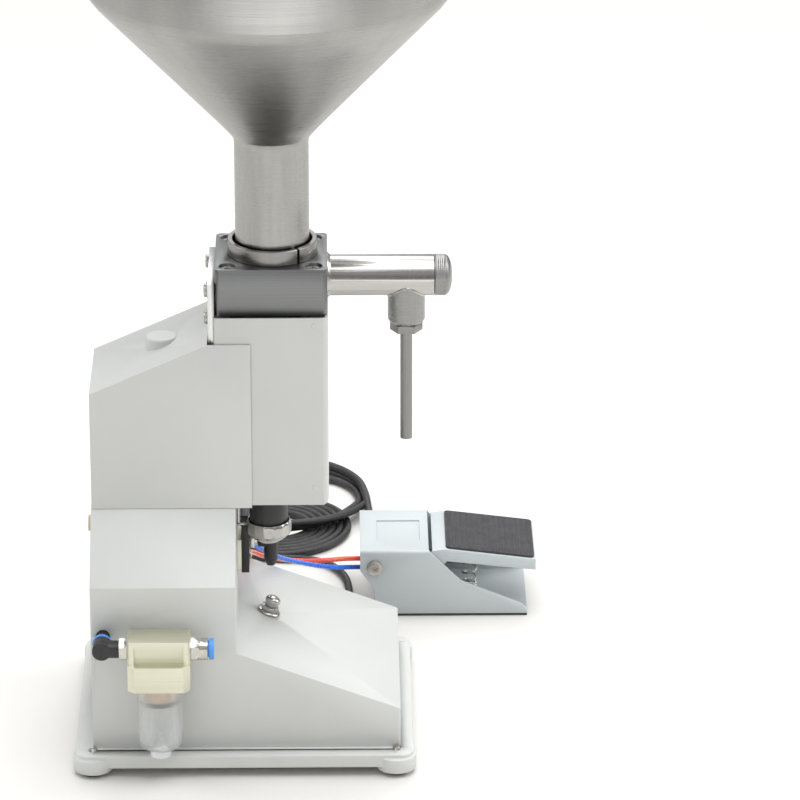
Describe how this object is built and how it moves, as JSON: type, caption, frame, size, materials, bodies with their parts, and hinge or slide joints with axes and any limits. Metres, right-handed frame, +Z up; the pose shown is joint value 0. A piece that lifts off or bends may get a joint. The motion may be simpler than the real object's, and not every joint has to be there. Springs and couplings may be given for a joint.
{
  "type": "piston liquid filler",
  "caption": "Desktop pneumatic piston filler: open steel hopper on a valve block, pump in a column, down-turned nozzle, air filter, and a foot pedal on air tubes.",
  "frame": {"origin": "centre of the footprint on the supporting surface, cords left out", "axes": "+Z up, +X from the rear of the machine towards its nozzle, +Y towards the pedal"},
  "size_m": [0.3711, 0.6579, 0.7233],
  "materials": {
    "machine_paint": "light warm grey semi-gloss paint",
    "casting_paint": "light warm grey paint on a cast surface",
    "brushed_stainless": "polished and lightly brushed stainless steel",
    "block_steel": "satin ground stainless steel",
    "bright_steel": "bright turned stainless steel",
    "zinc_steel": "zinc-plated steel",
    "ground_steel": "ground steel",
    "spring_steel": "drawn spring steel",
    "cylinder_alloy": "clear anodised aluminium",
    "champagne_alloy": "champagne anodised aluminium",
    "black_rubber": "matt black rubber",
    "black_plastic": "moulded black nylon",
    "clear_bowl": "clear polycarbonate",
    "sintered_bronze": "sintered bronze filter element",
    "nickel_plate": "nickel-plated brass",
    "seal_plastic": "white seal plastic",
    "release_blue": "light blue moulded plastic",
    "rear_plastic": "beige and black moulded plastic",
    "drain_plastic": "milky clear moulded plastic",
    "blue_hose": "blue polyurethane tube",
    "red_hose": "red polyurethane tube",
    "black_hose": "black air hose",
    "pedal_paint": "pale blue-grey paint on die casting"
  },
  "bodies": {
    "machine": {"adjuster_pointer": "nickel_plate", "back_plate": "brushed_stainless", "base_casting": "casting_paint", "blue_tube": "blue_hose", "body_shell": "machine_paint", "column_casing": "machine_paint", "control_valve_body": "champagne_alloy", "control_valve_caps": "black_plastic", "cylinder_barrels": "cylinder_alloy", "cylinder_heads": "cylinder_alloy", "filter_baffle": "black_plastic", "filter_bowl": "clear_bowl", "filter_element": "sintered_bronze", "filter_fittings": "nickel_plate", "filter_head": "champagne_alloy", "foot_screws": "zinc_steel", "foot_valve_body": "black_plastic", "hopper": "brushed_stainless", "hose_coil": "black_hose", "hose_fittings": "black_plastic", "hose_pedal_run": "black_hose", "hose_tail": "black_hose", "inlet_spring": "spring_steel", "nozzle_tube": "bright_steel", "outlet_elbow": "black_plastic", "outlet_pipe": "brushed_stainless", "pedal_housing": "pedal_paint", "pedal_ports": "black_plastic", "pedal_sole": "black_rubber", "pivot_screws": "zinc_steel", "rear_cover": "machine_paint", "rear_fittings": "rear_plastic", "red_tube": "red_hose", "rubber_feet": "black_rubber", "slope_stud": "zinc_steel", "split_ring": "brushed_stainless", "steel_screws": "zinc_steel", "tie_rods": "zinc_steel", "treadle_spring": "spring_steel", "valve_block": "block_steel", "valve_elbow": "black_plastic", "valve_fittings": "nickel_plate", "valve_seats": "seal_plastic"},
    "piston": {"piston_rod": "ground_steel", "pistons": "ground_steel", "piston_seals": "seal_plastic"},
    "inlet_valve": {"inlet_poppet": "ground_steel"},
    "outlet_valve": {"outlet_poppet": "ground_steel", "outlet_spring": "spring_steel"},
    "end_cap": {"end_cap": "bright_steel"},
    "nozzle_nut": {"nozzle_nut": "bright_steel"},
    "adjuster_screw": {"adjuster_sleeve": "black_plastic"},
    "adjuster_ring": {"adjuster_ring": "nickel_plate"},
    "valve_spool": {"control_valve_spool": "nickel_plate"},
    "drain_knob": {"drain_knob": "drain_plastic"},
    "inlet_release_ring": {"inlet_release_ring": "release_blue"},
    "elbow_release_ring": {"elbow_release_ring": "release_blue"},
    "treadle": {"treadle": "pedal_paint", "treadle_pad": "black_rubber"},
    "foot_plunger": {"foot_valve_plunger": "nickel_plate"}
  },
  "joints": [
    {"name": "piston_slide", "type": "slide", "parent": "machine", "child": "piston", "axis": [0, 0, 1], "range_m": [0, 0.04]},
    {"name": "inlet_valve_lift", "type": "slide", "parent": "machine", "child": "inlet_valve", "axis": [0, 0, 1], "range_m": [-0.005, 0], "stiffness_N_per_m": 300, "springref_m": 0.004, "deforming": ["inlet_spring"]},
    {"name": "outlet_valve_lift", "type": "slide", "parent": "machine", "child": "outlet_valve", "axis": [1, 0, 0], "range_m": [0, 0.006], "stiffness_N_per_m": 300, "springref_m": -0.004},
    {"name": "end_cap_turn", "type": "hinge", "parent": "machine", "child": "end_cap", "pos_m": [0.09635, -0.07528, 0.375], "axis": [1, 0, 0], "continuous": true},
    {"name": "nozzle_nut_turn", "type": "hinge", "parent": "machine", "child": "nozzle_nut", "pos_m": [0.07495, -0.07528, 0.33], "axis": [0, 0, 1], "continuous": true},
    {"name": "adjuster_lift", "type": "slide", "parent": "machine", "child": "adjuster_screw", "axis": [0, 0, 1], "range_m": [0, 0.006]},
    {"name": "adjuster_turn", "type": "hinge", "parent": "adjuster_screw", "child": "adjuster_ring", "pos_m": [-0.03305, -0.07528, 0.1525], "axis": [0, 0, 1], "range_deg": [-10, 1450]},
    {"name": "valve_spool_shift", "type": "slide", "parent": "machine", "child": "valve_spool", "axis": [1, 0, 0], "range_m": [-0.003, 0.003]},
    {"name": "drain_knob_turn", "type": "hinge", "parent": "machine", "child": "drain_knob", "pos_m": [-0.11655, -0.19378, 0.03], "axis": [0, 0, 1], "range_deg": [0, 90]},
    {"name": "inlet_ring_push", "type": "slide", "parent": "machine", "child": "inlet_release_ring", "axis": [1, 0, 0], "range_m": [-0.001, 0], "stiffness_N_per_m": 400, "springref_m": 0.0005},
    {"name": "elbow_ring_push", "type": "slide", "parent": "machine", "child": "elbow_release_ring", "axis": [0, 1, 0], "range_m": [-0.0008, 0], "stiffness_N_per_m": 400, "springref_m": 0.0005},
    {"name": "treadle_press", "type": "hinge", "parent": "machine", "child": "treadle", "pos_m": [0.05155, 0.15922, 0.0438], "axis": [0, 1, 0], "range_deg": [0, 7], "stiffness_Nm_per_rad": 10, "springref_deg": -8.59, "deforming": ["treadle_spring"]},
    {"name": "foot_plunger_slide", "type": "slide", "parent": "machine", "child": "foot_plunger", "axis": [0, 0, 1], "range_m": [-0.0047, 0]}
  ],
  "couplings": [
    {"joint": "adjuster_turn", "follows": "adjuster_lift", "rad_per_m": 4188.8},
    {"joint": "foot_plunger_slide", "follows": "treadle_press", "m_per_rad": -0.038}
  ]
}
